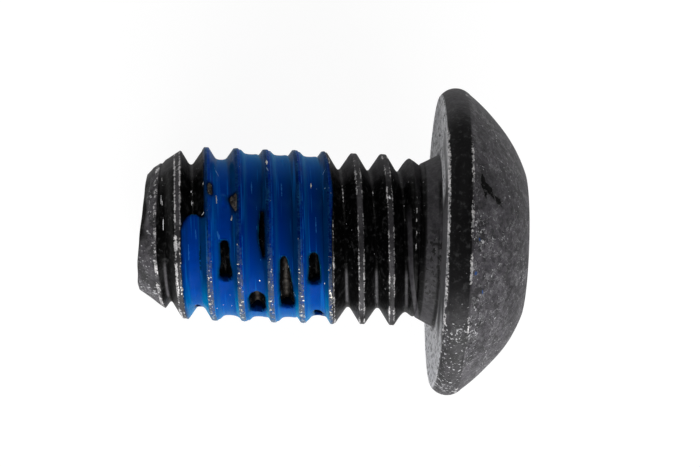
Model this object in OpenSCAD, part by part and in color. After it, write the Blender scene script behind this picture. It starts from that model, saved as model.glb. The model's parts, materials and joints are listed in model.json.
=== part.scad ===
// Button head socket screw, M6 x 1 x 10, right-hand thread, with a nylon locking patch.
// The screw lies on its side, resting on the rim of its head and on a thread crest near its tip.
// Each node is first built upright on its own axis, from the tip at z = 0 to the head, then laid down.

/* [Head] */
// Largest diameter of the head, across its bulged rim
head_d = 10.46; // [9:0.02:14]
// Height of the head above its bearing face
head_h = 2.92; // [2.8:0.02:5]
// Radius of the bulge round the rim
rim_bulge_r = 0.62; // [0.5:0.01:0.8]
// How far the rim bulges out past the edge of the flat bearing face
bearing_inset = 0.27; // [0.1:0.01:0.45]
// Diameter of the flat on top of the head, round the socket
crown_d = 4.9; // [4.8:0.1:6]
// Height of the dome's arc above its straight chord
dome_rise = 0.22; // [0.05:0.01:0.4]

/* [Hex socket] */
// Width of the socket across its flats
socket_af = 4.0; // [3:0.1:4.1]
// Depth of the full hexagon
socket_depth = 2.1; // [1.5:0.05:2.2]
// Further depth of the cone at the bottom of the socket
socket_point = 0.4; // [0.1:0.05:0.5]
// Depth of the chamfer round the mouth of the socket
socket_chamfer = 0.12; // [0.05:0.01:0.2]

/* [Thread] */
// Length of the shank under the head
shank_l = 10.02; // [8:0.02:30]
// Pitch of the thread
pitch = 1.0; // [0.8:0.05:1.25]
// Diameter over the thread crests
thread_d = 5.81; // [5.6:0.01:6.1]
// Diameter at the thread roots
root_d = 4.7; // [4.5:0.01:4.9]
// Width of the flat on each crest
crest_w = 0.17; // [0.12:0.01:0.25]
// Width of the flat in each root
root_w = 0.13; // [0.08:0.01:0.16]
// Depth of the rounding in the middle of each root
root_round = 0.015; // [0:0.005:0.03]
// Turn of the thread about its axis, in degrees
thread_turn = 43; // [0:1:359]
// Flat steps in each turn of the thread
steps = 40; // [24:4:60]

/* [Tip and neck] */
// Diameter of the flat face of the tip
tip_d = 3.9; // [3.4:0.1:4.4]
// Length of the tip's chamfer, over which the crests grow to their full height
tip_taper = 1.4; // [1:0.1:2]
// Diameter of the unthreaded neck where the thread fades out, as left by thread rolling
neck_d = 5.2; // [5:0.01:5.5]
// How far the neck's cone stands out past the crests where it meets the head
flare_out = 0.04; // [0.03:0.01:0.3]
// Length of the neck's cone
neck_l = 0.54; // [0.3:0.02:1.2]
// Length of thread that fades out before the neck
runout = 0.75; // [0.6:0.05:1.3]

/* [Locking patch] */
// Distance from the tip to the start of the patch, along the root
patch_start = 1.83; // [1.2:0.01:2.5]
// Number of turns of thread that the patch fills
patch_turns = 4.45; // [2.5:0.05:5]
// Depth of the filled valleys below the thread crests
patch_sink = 0.19; // [0.12:0.01:0.3]
// Thickness of the nylon over the crests
patch_film = 0.03; // [0.02:0.005:0.05]
// Thickness of the nylon in the root at the start of the patch
patch_edge = 0.1; // [0.06:0.01:0.15]
// Number of turns over which the fill rises from its edge to its full level
rise_turns = 0.8; // [0.3:0.05:1.2]
// Width of the voids, where the nylon left the thread bare
void_w = 0.34; // [0.2:0.01:0.4]

/* [Hidden] */

head_r = head_d / 2;
crest_r = thread_d / 2;
root_r = root_d / 2;
thread_depth = crest_r - root_r;
neck_r = neck_d / 2;
flare_r = crest_r + flare_out;
tip_r = tip_d / 2;
crown_r = crown_d / 2;
bearing_r = head_r - bearing_inset;

// The rim's bulge is an arc from the edge of the bearing face to where the dome starts.
bulge_r = head_r - rim_bulge_r;
bearing_angle = -acos(1 - bearing_inset / rim_bulge_r);
dome_angle = 48;
bulge_z = shank_l - rim_bulge_r * sin(bearing_angle);
arc_steps = 6;

// One pitch of the thread's section, from root to root: [share of the pitch, radius].
root_half = root_w / 2 / pitch;
crest_half = crest_w / 2 / pitch;
profile = [
    [0, root_r - root_round],
    [root_half, root_r],
    [0.5 - crest_half, crest_r],
    [0.5 + crest_half, crest_r],
    [1 - root_half, root_r],
    [1, root_r - root_round]
];
rows = len(profile) - 1;

// The thread's grid of points is a whole number of turns, with a plain ring before it, at the tip, and one after
// it, where the neck's cone ends inside the head.
grid_to = shank_l - neck_l;
shortest_tip = 0.3 * pitch;
turns = floor((grid_to - shortest_tip) / pitch);
grid_from = grid_to - turns * pitch;
last_row = rows * (turns + 1);
column_size = last_row + 3;
sunk = head_h / 10;
sunk_r = flare_r + (flare_r - neck_r) * sunk / neck_l;

// Voids in the patch: [turn of the valley, first angle, last angle, shift in pitches, share of void_w].
voids = [
    [2, 188, 206, 0.02, 1],
    [3, 228, 241, 0.02, 1.4],
    [4, 199, 232, 0, 1.15],
    [5, 194, 206, -0.05, 1.1],
    [3, 162, 189, 0.25, 0.5]
];

// The lie of the screw: the tilt at which the rim's bulge and one thread crest both touch the floor.
function tilt_on(z, r) =
    let (along = bulge_z - z, out = bulge_r - r)
    atan2(out, along) + asin(rim_bulge_r / norm([along, out]));
lie = min([
    for (z = [shortest_tip:0.01 * pitch:3 * pitch]) tilt_on(z, surface_r(z, -thread_turn / 360))
]);
floor_drop = bulge_z * sin(lie) - bulge_r * cos(lie) - rim_bulge_r;
far_end = max([for (p = head_outline()) p.y * cos(lie) + p.x * sin(lie)]);
near_end = -tip_r * sin(lie);

// The envelope of the crests near the tip, and the share of the thread's depth left at the run-out.
function envelope(z) =
    tip_r + (crest_r - tip_r) * min(1, z / tip_taper);
function smooth(t) = let (u = min(1, max(0, t))) u * u * (3 - 2 * u);
function depth_share(z) = 1 - smooth((z - (grid_to - runout)) / runout);

// The radius of the threaded surface at a height on the axis and a turn, in whole turns from the grid's start.
function surface_r(z, turn) =
    let (
        along = (z - grid_from) / pitch - turn,
        cut = lookup(along - floor(along), profile),
        faded = neck_r + (cut - neck_r) * depth_share(z)
    )
    min(faded, envelope(z));

// The height of a grid row at a step round the axis. The first and last turns fan out from a ring.
function grid_z(step, row) =
    let (part = step / steps, whole = floor(row / rows), share = profile[row % rows][0])
    row <= rows ? grid_from + pitch * part * (row == rows ? 1 : share)
    : row >= last_row - rows
        ? grid_to - pitch * (1 - part) * (row == last_row ? 0 : 1 - share)
    : grid_from + pitch * (part + whole - 1 + share);

function on_axis(r, angle, z) = [r * cos(angle), r * sin(angle), z];
function step_angle(step) = thread_turn + 360 * step / steps;

// Points go column by column round the axis, each column from the tip to inside the head.
function column(step) = concat(
    [on_axis(tip_r, step_angle(step), 0)],
    [for (row = [0:last_row])
        let (z = grid_z(step, row)) on_axis(surface_r(z, step / steps), step_angle(step), z)],
    [on_axis(sunk_r, step_angle(step), shank_l + sunk)]
);

// A point's number. A full turn on, a row meets the row one pitch further along the first column.
function point_at(step, level) =
    let (
        row = level - 1,
        on_grid = row >= 0 && row <= last_row,
        met = step == steps && on_grid ? min(row + rows, last_row) : row,
        first = step % steps == 0 && on_grid && met < rows ? 0 : met
    )
    (step % steps) * column_size + 1 + first;

// Two triangles for a four-sided patch, or one where two of its corners are the same point.
function triangle(a, b, c) = a == b || b == c || c == a ? [] : [[a, b, c]];
function quad(a, b, c, d) = concat(triangle(a, c, b), triangle(a, d, c));

module threaded_shank() {
    points = [for (step = [0:steps - 1]) each column(step)];
    wall = [
        for (step = [0:steps - 1], level = [0:column_size - 2])
        each quad(point_at(step, level), point_at(step + 1, level),
            point_at(step + 1, level + 1), point_at(step, level + 1))
    ];
    tip_face = [for (step = [0:steps - 1]) point_at(step, 0)];
    sunk_face = [for (step = [steps - 1:-1:0]) point_at(step, column_size - 1)];
    polyhedron(points, concat(wall, [tip_face, sunk_face]), convexity = 10);
}

// The head's outline, from the bearing face round the rim and over the dome to the crown.
function rim_point(angle) = [bulge_r, bulge_z] + rim_bulge_r * [cos(angle), sin(angle)];
function head_outline() =
    let (
        low = rim_point(dome_angle),
        high = [crown_r, shank_l + head_h],
        chord = high - low,
        away = [chord.y, -chord.x] / norm(chord)
    )
    concat(
        [[bearing_r, shank_l]],
        [for (k = [1:arc_steps]) rim_point(bearing_angle + (dome_angle - bearing_angle) * k / arc_steps)],
        [for (k = [1:arc_steps - 1])
            let (t = k / arc_steps) low + chord * t + away * 4 * dome_rise * t * (1 - t)],
        [high]
    );

module head() {
    rotate_extrude($fn = 72)
    polygon(concat([[0, shank_l]], head_outline(), [[0, shank_l + head_h]]));
}

module hex_socket() {
    flat_r = socket_af / 2;
    corner_r = flat_r / cos(30);
    mouth_r = 1.02 * corner_r;
    floor_z = shank_l + head_h - socket_depth;
    translate([0, 0, floor_z]) cylinder(r = corner_r, h = head_h, $fn = 6);
    translate([0, 0, floor_z - socket_point])
        cylinder(r1 = 0.01, r2 = flat_r, h = socket_point + 0.001, $fn = 72);
    translate([0, 0, shank_l + head_h - socket_chamfer])
        cylinder(r1 = flat_r, r2 = 2 * mouth_r - flat_r, h = 2 * socket_chamfer, $fn = 72);
}

// Lays what is built upright on the axis on its side, tip towards -X, on the floor and centred.
module laid() {
    translate([-(far_end + near_end) / 2, 0, -floor_drop])
    rotate([0, 90 - lie, 0])
    children();
}

module screw() {
    color([0.2, 0.19, 0.2])
    laid()
    difference() {
        union() {
            head();
            threaded_shank();
        }
        hex_socket();
    }
}

// The patch is a ribbon one pitch wide, wound along the thread from crest to crest.
patch_first = round((patch_start - grid_from) / pitch * steps);
patch_last = patch_first + round(patch_turns * steps);
ribbon_shift = rows - 2;

// The level of the nylon in the valley at a step, as a share of the full fill.
function fill_share(step) =
    smooth((step - patch_first) / steps / rise_turns)
    * (0.45 + 0.55 * smooth((patch_last - step) / steps / 0.5));
function fill_level(step) =
    let (full = crest_r - patch_sink - root_r)
    root_r + patch_edge + (full - patch_edge) * fill_share(step);

// A point of the ribbon's inner or outer side. Its rows run from one crest to the next.
function ribbon_point(step, k, outer) =
    let (
        row = (k + ribbon_shift) % rows,
        z = grid_from + pitch * (step / steps + profile[row][0] + (k < 2 ? -1 : 0)),
        thread_r = surface_r(z, step / steps - floor(step / steps)),
        on_crest = row == rows - 3 || row == rows - 2,
        r = !outer ? thread_r : on_crest ? thread_r + patch_film : max(thread_r + patch_film, fill_level(step))
    )
    on_axis(r, step_angle(step), z);

ribbon_size = rows + 1;
ribbon_steps = patch_last - patch_first;

// A point's number. The ribbon's last row is its first row one turn on, as far as the ribbon goes.
function ribbon_at(step, k, side) =
    let (next_turn = k == rows && step + steps <= ribbon_steps)
    (next_turn ? (step + steps) * ribbon_size : step * ribbon_size + k)
    + side * (ribbon_steps + 1) * ribbon_size;

module nylon_ribbon() {
    points = [
        for (outer = [false, true], step = [0:ribbon_steps], k = [0:rows])
        ribbon_point(patch_first + step, k, outer)
    ];
    skins = [
        for (step = [0:ribbon_steps - 1], k = [0:rows - 1], side = [0, 1])
        let (
            a = ribbon_at(step, k, side), b = ribbon_at(step + 1, k, side),
            c = ribbon_at(step + 1, k + 1, side), d = ribbon_at(step, k + 1, side)
        )
        each side == 1 ? quad(a, b, c, d) : quad(a, d, c, b)
    ];
    ends = [
        for (k = [0:rows - 1])
        each concat(
            quad(ribbon_at(0, k, 0), ribbon_at(0, k, 1), ribbon_at(0, k + 1, 1), ribbon_at(0, k + 1, 0)),
            quad(ribbon_at(ribbon_steps, k + 1, 0), ribbon_at(ribbon_steps, k + 1, 1),
                ribbon_at(ribbon_steps, k, 1), ribbon_at(ribbon_steps, k, 0))
        )
    ];
    edges = [
        for (step = [0:steps - 1])
        let (far = ribbon_steps - steps + step)
        each concat(
            quad(ribbon_at(step + 1, 0, 0), ribbon_at(step + 1, 0, 1),
                ribbon_at(step, 0, 1), ribbon_at(step, 0, 0)),
            quad(ribbon_at(far, rows, 0), ribbon_at(far, rows, 1),
                ribbon_at(far + 1, rows, 1), ribbon_at(far + 1, rows, 0))
        )
    ];
    polyhedron(points, concat(skins, ends, edges), convexity = 10);
}

// A round-ended slot that follows the valley and goes right through the nylon.
module void_cutter(turn, from, to, shift, share) {
    hull()
    for (angle = [from, (from + to) / 2, to]) {
        z = grid_from + (turn + shift + (angle - thread_turn) / 360) * pitch;
        translate([0, 0, z]) rotate([0, 90, angle])
            translate([0, 0, root_r - thread_depth]) cylinder(d = void_w * share, h = 3 * thread_depth, $fn = 12);
    }
}

module locking_patch() {
    color([0.03, 0.2, 0.6])
    laid()
    difference() {
        nylon_ribbon();
        for (v = voids) void_cutter(v[0], v[1], v[2], v[3], v[4]);
    }
}

screw();
locking_patch();
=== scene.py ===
"""The looks of a button head socket screw with a nylon locking patch, lying on a white table.

Both CAD nodes are replaced by finer meshes of the same form. They are built upright on the screw's
own axis, in millimetres: z runs from the tip to the head, and angle 0 faces the floor.
"""
import json
import math
from types import SimpleNamespace

import bmesh
import bpy
import numpy as np
from mathutils import Matrix, Vector


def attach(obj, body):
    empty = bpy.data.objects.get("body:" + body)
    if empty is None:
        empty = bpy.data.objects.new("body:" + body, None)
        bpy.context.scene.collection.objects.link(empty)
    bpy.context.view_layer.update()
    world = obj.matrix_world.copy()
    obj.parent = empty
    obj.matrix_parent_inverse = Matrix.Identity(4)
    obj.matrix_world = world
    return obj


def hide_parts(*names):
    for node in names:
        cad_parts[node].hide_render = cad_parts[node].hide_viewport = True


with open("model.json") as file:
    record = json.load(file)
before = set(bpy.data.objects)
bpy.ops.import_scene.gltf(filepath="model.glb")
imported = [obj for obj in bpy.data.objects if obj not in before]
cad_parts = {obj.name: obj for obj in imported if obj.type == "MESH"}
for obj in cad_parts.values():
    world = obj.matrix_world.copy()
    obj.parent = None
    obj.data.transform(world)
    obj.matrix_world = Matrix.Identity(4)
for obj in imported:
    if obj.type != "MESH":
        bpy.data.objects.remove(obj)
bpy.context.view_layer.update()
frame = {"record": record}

# Head
HEAD_R = 5.23
HEAD_H = 2.92
RIM_BULGE_R = 0.62
BEARING_INSET = 0.27
DOME_ANGLE = 48
DOME_RISE = 0.22
CROWN_R = 2.45
SOCKET_FLAT_R = 2.0
SOCKET_DEPTH = 2.1
SOCKET_POINT = 0.4
SOCKET_CHAMFER = 0.12
BEARING_R = HEAD_R - BEARING_INSET
# The ridge between the rim and the dome, above the bearing face
RIDGE_H = 0.79

# Thread, tip and neck
SHANK_L = 10.02
PITCH = 1.0
CREST_R = 2.905
ROOT_R = 2.35
CREST_HALF = 0.085
ROOT_HALF = 0.065
THREAD_TURN = 43
TIP_R = 1.95
TIP_TAPER = 1.4
NECK_R = 2.6
FLARE_R = 2.945
NECK_L = 0.54
RUNOUT = 0.75
THREAD_TOP = SHANK_L - NECK_L
# Unevenness of this one screw: how far the first crest's flank is set back, how far the tip's face
# falls away and where its middle lies, and the depth of the groove where the thread runs out
FLANK_BACK = 0.17
TIP_FALL = 0.15
TIP_MIDDLE_Z = 0.07
GROOVE_DEPTH = 0.1

# Locking patch: its start along the root, its length in turns and the film over the crests
PATCH_START = 1.82
PATCH_TURNS = 4.45
PATCH_FILM = 0.03
# The radius at which lengths round the patch are measured, and the one for its voids
ARC_R = 2.7
VOID_ARC_R = 2.75
# How far the filled valleys lie below the crests: (turns from the patch's start, depth)
PATCH_SINK = [
    (0, 0.34), (0.17, 0.36), (0.28, 0.46), (0.6, 0.44), (0.78, 0.41),
    (1.0, 0.25), (1.28, 0.2), (1.8, 0.18), (4.2, 0.21), (PATCH_TURNS, 0.42),
]
# The start is a tongue. Its two edges are (distance along the valley, offset from the valley's middle)
TONGUE_TURNS = 0.1
TONGUE_TIP_SIDE = [(0, -0.02), (0.024, -0.09), (0.12, -0.2), (0.35, -0.32), (0.6, -0.4)]
TONGUE_HEAD_SIDE = [(0, 0.03), (0.024, 0.16), (0.12, 0.21), (0.165, 0.37), (0.2, 0.6)]
# The edge toward the tip after it: (turns from the patch's start, offset)
TIP_SIDE = [(0.1, -0.42), (0.5, -0.43), (0.72, -0.6), (0.78, -0.64), (1, -0.63)]
# Voids and bare spots, each a chain of (angle in degrees, height, half-width)
VOIDS = [
    [(187, 2.893, 0.13), (199, 2.940, 0.15), (209, 2.965, 0.214)],
    [(229, 4.012, 0.262), (242, 4.058, 0.248)],
    [(197, 4.847, 0.109), (208, 4.913, 0.18), (224, 5.002, 0.22), (235, 5.046, 0.228)],
    [(194, 5.826, 0.143), (199, 5.862, 0.170), (210, 5.883, 0.197)],
    [(164, 4.096, 0.055), (180, 4.098, 0.1), (194, 4.185, 0.04)],
    [(247, 6.052, 0.1), (251, 6.09, 0.14), (262, 6.12, 0.12)],
    [(254, 2.01, 0.05), (259, 2.03, 0.07), (266, 2.06, 0.05)],
    [(146, 2.338, 0.078), (152, 2.364, 0.085)],
    [(154, 3.073, 0.1), (158, 3.15, 0.09), (164, 3.231, 0.045)],
    [(153, 3.185, 0.06), (158, 3.18, 0.07)],
]
# The last three are spots of brownish bare steel
BROWN_SPOTS = VOIDS[7:]
# A small drop of nylon beside the second spot
NYLON_DROP = [(153, 2.80, 0), (157, 2.82, 0)]

# The grid of points: columns round the axis, a multiple of 6 so that the socket's corners lie on it,
# and rows in each turn of the thread
COLUMNS = 216
ROWS = 30
TURNS = 9
LAST_ROW = ROWS * (TURNS + 1)
ANGLES = np.arange(COLUMNS) * 2 * math.pi / COLUMNS
GRID_TOP = THREAD_TOP - THREAD_TURN / 360 * PITCH
GRID_FROM = GRID_TOP - TURNS * PITCH
# The patch's start and the part of the grid that can carry it, in turns of the grid
PATCH_TURN = (PATCH_START - GRID_FROM) / PITCH
PATCH_GRID = (1.35, 7)

# Camera, as measured on the photograph, in millimetres and pixels
PHOTO_W, PHOTO_H = 700, 467
CAMERA_DISTANCE = 73.0
PIXELS_PER_MM = 29.44
TIP_PIXEL = (141.2, 231.6)
YAW = 2.07
AXIS_SLOPE = 1.87

MM = 0.001


# Placing, and the plain functions that shape everything

def mount(name):
    """The place and direction of one of the record's mounts, in metres."""
    found = next(m for m in frame["record"]["mounts"] if m["name"] == name)
    return Vector(found["pos_m"]), Vector(found["axis"])


def screw_to_frame():
    """The matrix from the upright screw, in millimetres, to where it lies in the frame."""
    tip, outward = mount("thread")
    along = -outward.normalized()
    side = Vector((0, 1, 0))
    down = side.cross(along)
    turn = Matrix((down, side, along)).transposed().to_4x4()
    return Matrix.Translation(tip) @ turn @ Matrix.Scale(MM, 4)


LIE = screw_to_frame()


def smooth(t):
    """0 below 0, 1 above 1, and a smooth step between them."""
    t = np.clip(t, 0, 1)
    return t * t * (3 - 2 * t)


def peak(distance, width):
    """1 where a distance is zero, falling to nothing over about twice the width."""
    return np.exp(-(distance / width) ** 2)


def between(value, low, high, soft):
    """1 between two values, with soft ends."""
    return smooth((value - low) / soft) * smooth((high - value) / soft)


def polyline(value, points):
    """The height of a line through the given points (place, height), at a value."""
    return np.interp(value, [p[0] for p in points], [p[1] for p in points])


def ripple(angle, z, seed, size, waves=24, around=14, along=9.0):
    """A smooth random surface, closed round the axis, with heights of about plus or minus size."""
    draw = np.random.RandomState(seed)
    total = np.zeros(np.broadcast(angle, z).shape)
    for _ in range(waves):
        k = draw.randint(-around, around + 1)
        w = draw.uniform(-along, along)
        phase = draw.uniform(0, 2 * math.pi)
        total = total + np.cos(k * angle + w * z + phase)
    return size * total / math.sqrt(waves)


# The form of the screw

def thread_cut(share):
    """The thread's radius at a share of the pitch, from one root to the next, with its corners eased."""
    ease = 0.02
    corner = 0.5 - CREST_HALF
    half_cut = [
        (0, ROOT_R - 0.012),
        (ROOT_HALF - ease, ROOT_R - 0.006),
        (ROOT_HALF + ease, ROOT_R + 0.035),
        (corner - ease, CREST_R - 0.04),
        (corner + 0.3 * ease, CREST_R - 0.006),
        (corner + 1.6 * ease, CREST_R),
        (0.5, CREST_R - 0.004),
    ]
    return polyline(0.5 - np.abs(share % 1 - 0.5), half_cut)


def helix_share(angle, z):
    """How far along the pitch a point lies, where 0 is the root and 0.5 the crest."""
    return ((z - GRID_FROM) / PITCH - angle / (2 * math.pi)) % 1


def worn_cut(angle, z):
    """The thread's cut radius. The first crest's flank is set back on the side that faces the camera."""
    back = FLANK_BACK * np.maximum(0, -np.cos(angle)) * smooth((0.95 - z) / 0.3)
    return thread_cut(helix_share(angle, z + back))


def envelope(z):
    """The radius of the tip's cone, which cuts the first turns."""
    return TIP_R + (CREST_R - TIP_R) * np.clip(z / TIP_TAPER, 0, 1)


def thread_depth(z):
    """1 on the full thread, falling to 0 over the run-out."""
    return 1 - smooth((z - (THREAD_TOP - RUNOUT)) / RUNOUT)


def thread_r(angle, z):
    """The radius of the threaded surface, with the tip's taper, the run-out and uneven rolling."""
    depth = thread_depth(z)
    cut = worn_cut(angle, z)
    crest = smooth((cut - ROOT_R) / (CREST_R - ROOT_R) * 2 - 1)
    uneven = ripple(angle, z, 3, 0.006) * crest + ripple(angle, z, 4, 0.002)
    groove = GROOVE_DEPTH * peak(z - (THREAD_TOP - 0.05), 0.07)
    faded = NECK_R + (cut - NECK_R) * depth - groove
    top = envelope(z) + ripple(angle, z, 5, 0.012) * smooth(1 - z / TIP_TAPER)
    return np.minimum(faded, top) + uneven * depth


def hexagon_r(angle):
    """The radius of the socket's wall."""
    sector = math.pi / 3
    return SOCKET_FLAT_R / np.cos((angle % sector) - sector / 2)


def head_outline():
    """Points (radius, z) from the bearing face's edge round the rim and over the dome to the crown."""
    first, last = -math.acos(1 - BEARING_INSET / RIM_BULGE_R), math.radians(DOME_ANGLE)
    bulge_r, bulge_z = HEAD_R - RIM_BULGE_R, SHANK_L - RIM_BULGE_R * math.sin(first)
    turn = np.linspace(first, last, 18)
    rim = np.stack([bulge_r + RIM_BULGE_R * np.cos(turn), bulge_z + RIM_BULGE_R * np.sin(turn)], 1)
    low, high = rim[-1], np.array([CROWN_R, SHANK_L + HEAD_H])
    chord = high - low
    away = np.array([chord[1], -chord[0]]) / np.linalg.norm(chord)
    t = np.linspace(0, 1, 27)[1:, None]
    dome = low + chord * t + away * 4 * DOME_RISE * t * (1 - t)
    return np.concatenate([rim, dome])


def mesh_piece(name, points, faces, material, attributes, domain="POINT"):
    """A smooth-shaded object from points in the upright screw's millimetres."""
    mesh = bpy.data.meshes.new(name)
    mesh.from_pydata([tuple(p) for p in points], [], faces)
    mesh.transform(LIE)
    for key, values in attributes.items():
        layer = mesh.attributes.new(key, "FLOAT", domain)
        layer.data.foreach_set("value", np.asarray(values, dtype=np.float32))
    mesh.polygons.foreach_set("use_smooth", [True] * len(mesh.polygons))
    mesh.set_sharp_from_angle(angle=math.radians(40))
    mesh.materials.append(material)
    mesh.update()
    piece = bpy.data.objects.new(name, mesh)
    bpy.context.collection.objects.link(piece)
    return piece


def row_shares():
    """Where the rows lie in one pitch: close together over the crest, further apart on the flanks."""
    knots = [0, ROOT_HALF, 0.5 - CREST_HALF - 0.03, 0.5 - CREST_HALF + 0.04, 0.5]
    counts = [2, 6, 4, 3]
    half = [0.0]
    for a, b, count in zip(knots, knots[1:], counts):
        half += list(np.linspace(a, b, count + 1)[1:])
    return np.array(half + [1 - h for h in reversed(half[:-1])])


SHARES = row_shares()


def grid_heights(column):
    """The heights of one column's grid rows. The first and last turns fan out from a ring."""
    row = np.arange(LAST_ROW + 1)
    part, share, whole = column / COLUMNS, SHARES[row % ROWS], row // ROWS
    low = GRID_FROM + PITCH * part * np.where(row == ROWS, 1, share)
    high = GRID_TOP - PITCH * (1 - part) * np.where(row == LAST_ROW, 0, 1 - share)
    middle = GRID_FROM + PITCH * (part + whole - 1 + share)
    return np.where(row <= ROWS, low, np.where(row >= LAST_ROW - ROWS, high, middle))


def screw_levels():
    """Radius and height of every level of the screw, each an array with one value per column."""
    radii, heights = [], []

    def ring(r, z):
        radii.append(np.broadcast_to(r, COLUMNS))
        heights.append(np.broadcast_to(z, COLUMNS))

    # Tip face, falling away toward one side, and its rounded edge
    fallen = smooth(0.5 + 0.6 * np.sin(ANGLES))
    for share in (0.2, 0.4, 0.55, 0.7, 0.82, 0.92, 0.98):
        ring(TIP_R * share, TIP_FALL * smooth(share) * fallen + ripple(ANGLES, share * 3, 6, 0.008))
    for z in np.linspace(0.02, GRID_FROM, 9)[:-1]:
        lift = TIP_FALL * fallen + ripple(ANGLES, 3, 6, 0.008)
        ring(thread_r(ANGLES, z), z + lift * (1 - z / GRID_FROM))
    tip_levels = len(radii)
    # Thread
    grid = np.stack([grid_heights(c) for c in range(COLUMNS)])
    for row in range(LAST_ROW + 1):
        ring(thread_r(ANGLES, grid[:, row]), grid[:, row])
    # The neck's cone
    for z in np.linspace(GRID_TOP, SHANK_L, 14)[1:]:
        ring(polyline(z, [(GRID_TOP, NECK_R), (SHANK_L, FLARE_R)]), z)
    # Bearing face, rim, dome and crown
    for r in np.linspace(FLARE_R, BEARING_R, 14)[1:-1]:
        ring(r, SHANK_L + ripple(ANGLES, r, 8, 0.003))
    corner_r = SOCKET_FLAT_R / math.cos(math.pi / 6)
    top = SHANK_L + HEAD_H
    # The dome is fuller toward the crown than a plain arc, most of all on one side
    fuller = 0.06 + 0.07 * between(np.degrees(ANGLES), 170, 350, 70)
    for r, z in head_outline():
        ring(r + fuller * smooth((z - top + 1.2) / 1.0) * smooth((top + 0.16 - z) / 0.2), z)
    for r in np.linspace(CROWN_R, corner_r, 4)[1:]:
        ring(r, top)
    # Socket: its chamfer meets the flats in shallow scallops
    wall = hexagon_r(ANGLES)
    ring(wall, top - SOCKET_CHAMFER * (corner_r - wall) / (corner_r - SOCKET_FLAT_R) - 0.002)
    floor_z = top - SOCKET_DEPTH
    for share in (0.3, 0.6, 0.9, 1.0):
        ring(wall, top - SOCKET_CHAMFER - (SOCKET_DEPTH - SOCKET_CHAMFER) * share)
    for share in (0.85, 0.6, 0.35, 0.12):
        ring(wall * share, floor_z - SOCKET_POINT * (1 - share))
    return np.stack(radii, 1), np.stack(heights, 1), tip_levels


def cells(number, following):
    """The four corners of every cell between each column of numbered points and the column after it."""
    corners = [number[:, :-1], following[:, :-1], following[:, 1:], number[:, 1:]]
    return np.stack(corners, -1).reshape(-1, 4)


def build_faces(levels, tip_levels):
    """Quads between neighbouring columns. One turn on, a thread row meets the row one pitch further."""
    number = np.arange(COLUMNS * levels).reshape(COLUMNS, levels)
    number[0, tip_levels:tip_levels + ROWS] = number[0, tip_levels + ROWS]
    following = np.roll(number, -1, 0)
    row = np.arange(LAST_ROW + 1)
    met = np.minimum(row + ROWS, LAST_ROW)
    following[-1, tip_levels + row] = number[0, tip_levels + met]
    faces = []
    for a, b, c, d in cells(number, following).tolist():
        face = [v for v, before in zip((a, b, c, d), (d, a, b, c)) if v != before]
        if len(face) > 2:
            faces.append(face)
    return faces


def make_screw(material):
    """The whole screw as one closed mesh, from the middle of the tip to the middle of the socket."""
    radius, height, tip_levels = screw_levels()
    levels = radius.shape[1]
    angle = np.broadcast_to(ANGLES[:, None], radius.shape)
    points = np.stack([radius * np.cos(angle), radius * np.sin(angle), height], -1).reshape(-1, 3)
    faces = build_faces(levels, tip_levels)
    tip_centre, socket_centre = len(points), len(points) + 1
    tip_z, socket_z = TIP_MIDDLE_Z, SHANK_L + HEAD_H - SOCKET_DEPTH - SOCKET_POINT
    points = np.concatenate([points, [[0, 0, tip_z], [0, 0, socket_z]]])
    for c in range(COLUMNS):
        n = (c + 1) % COLUMNS
        faces.append([n * levels, c * levels, tip_centre])
        faces.append([c * levels + levels - 1, n * levels + levels - 1, socket_centre])

    def on_points(values):
        """The grid's values, and those of the two middle points."""
        return np.append(values, [values.flat[0], values.flat[-1]])

    maps = steel_maps(radius, height, angle)
    attributes = {key: on_points(values) for key, values in maps.items()}
    piece = mesh_piece("screw_finish", points, faces, material, attributes)
    drop_loose_points(piece)
    return piece


def drop_loose_points(piece):
    """Removes the grid points that the fanned turns leave out of every face."""
    mesh = piece.data
    used = np.zeros(len(mesh.vertices), dtype=bool)
    index = np.empty(len(mesh.loops), dtype=np.int32)
    mesh.loops.foreach_get("vertex_index", index)
    used[index] = True
    shape = bmesh.new()
    shape.from_mesh(mesh)
    shape.verts.ensure_lookup_table()
    bmesh.ops.delete(shape, geom=[shape.verts[i] for i in np.flatnonzero(~used)], context="VERTS")
    shape.to_mesh(mesh)
    shape.free()


# Where the steel is worn, pale or specked

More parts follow.
